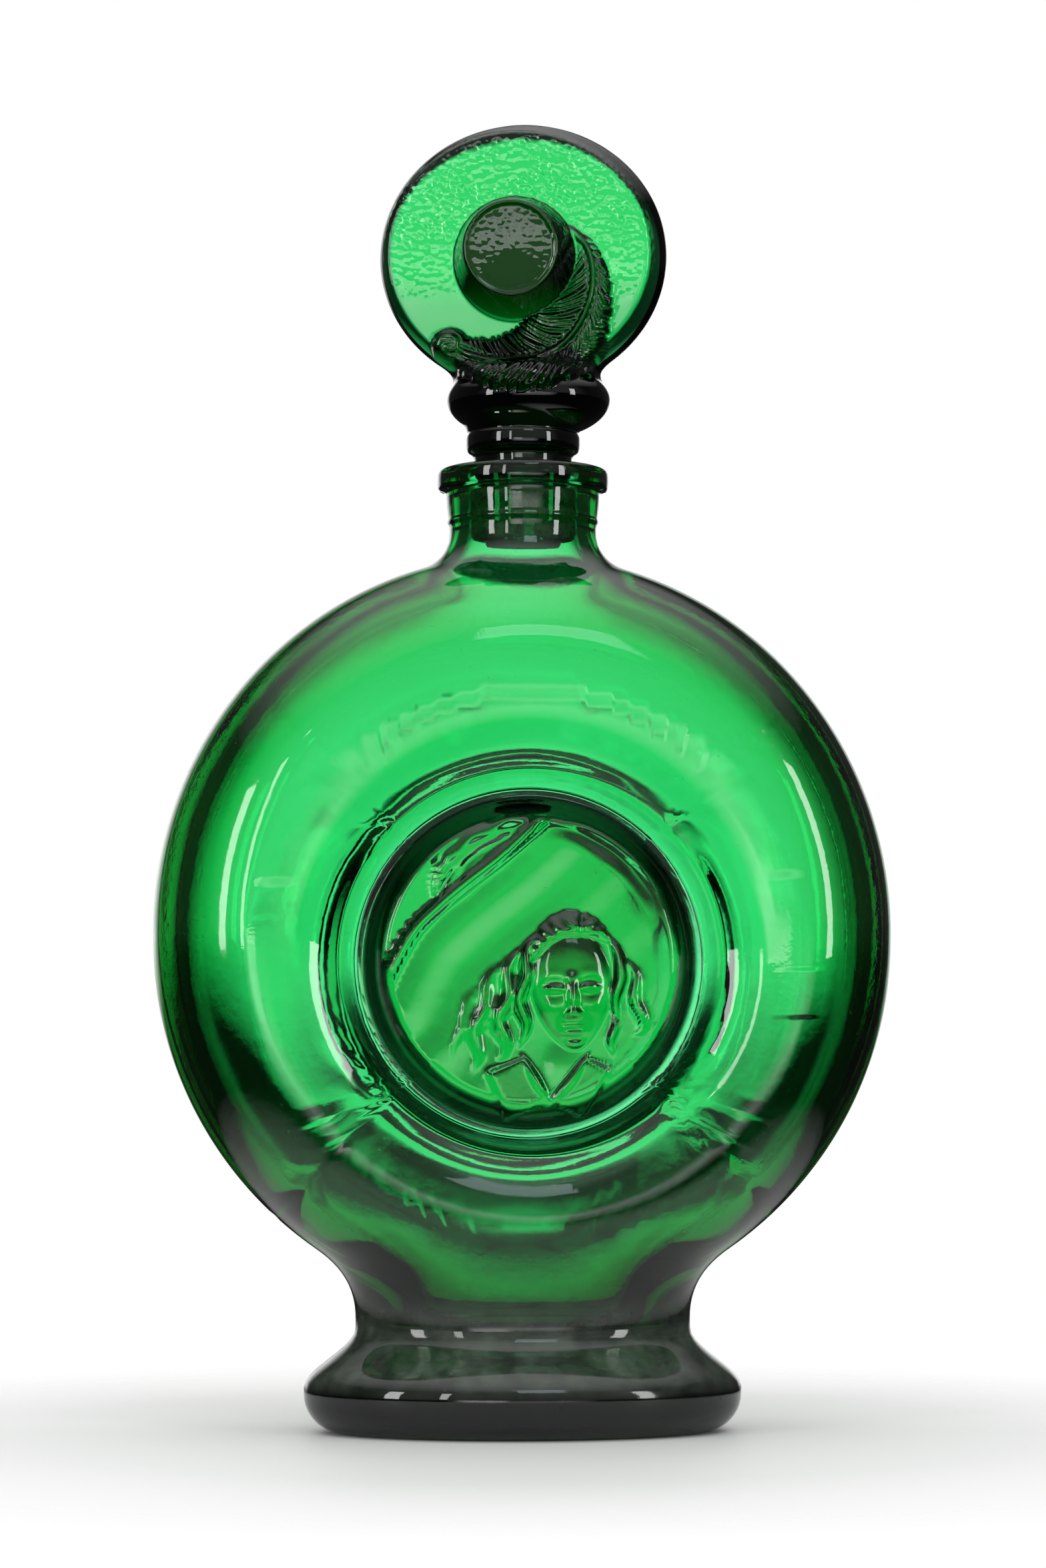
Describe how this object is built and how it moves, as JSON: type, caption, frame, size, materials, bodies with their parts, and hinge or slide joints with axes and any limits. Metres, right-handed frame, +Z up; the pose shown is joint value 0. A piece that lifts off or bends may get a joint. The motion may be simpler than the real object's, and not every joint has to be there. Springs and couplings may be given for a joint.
{
  "type": "stoppered glass flask",
  "caption": "Round flattened green glass flask on a flared oval foot, with a raised medallion in relief and a solid glass stopper shaped as a plumed hat.",
  "frame": {"origin": "on the table, under the middle of the foot", "axes": "+Z up through the neck, the medallion with the relief faces -Y, +X to the right seen from the front"},
  "size_m": [0.1584, 0.062, 0.2807],
  "materials": {
    "green_glass": "clear emerald green, glossy",
    "stopper_glass": "clear emerald green, glossy, stippled on the hat's brim",
    "cork": "matte cork"
  },
  "bodies": {
    "flask": {"flask": "green_glass", "neck_and_lip": "green_glass"},
    "cork": {"cork_sleeve": "cork"},
    "stopper": {"glass_stopper": "stopper_glass"}
  },
  "joints": [
    {"name": "stopper_lift", "type": "slide", "parent": "flask", "child": "cork", "axis": [0, 0, 1], "range_m": [0, 0.04]},
    {"name": "stopper_turn", "type": "hinge", "parent": "cork", "child": "stopper", "pos_m": [0, 0, 0.195], "axis": [0, 0, 1], "continuous": true}
  ]
}
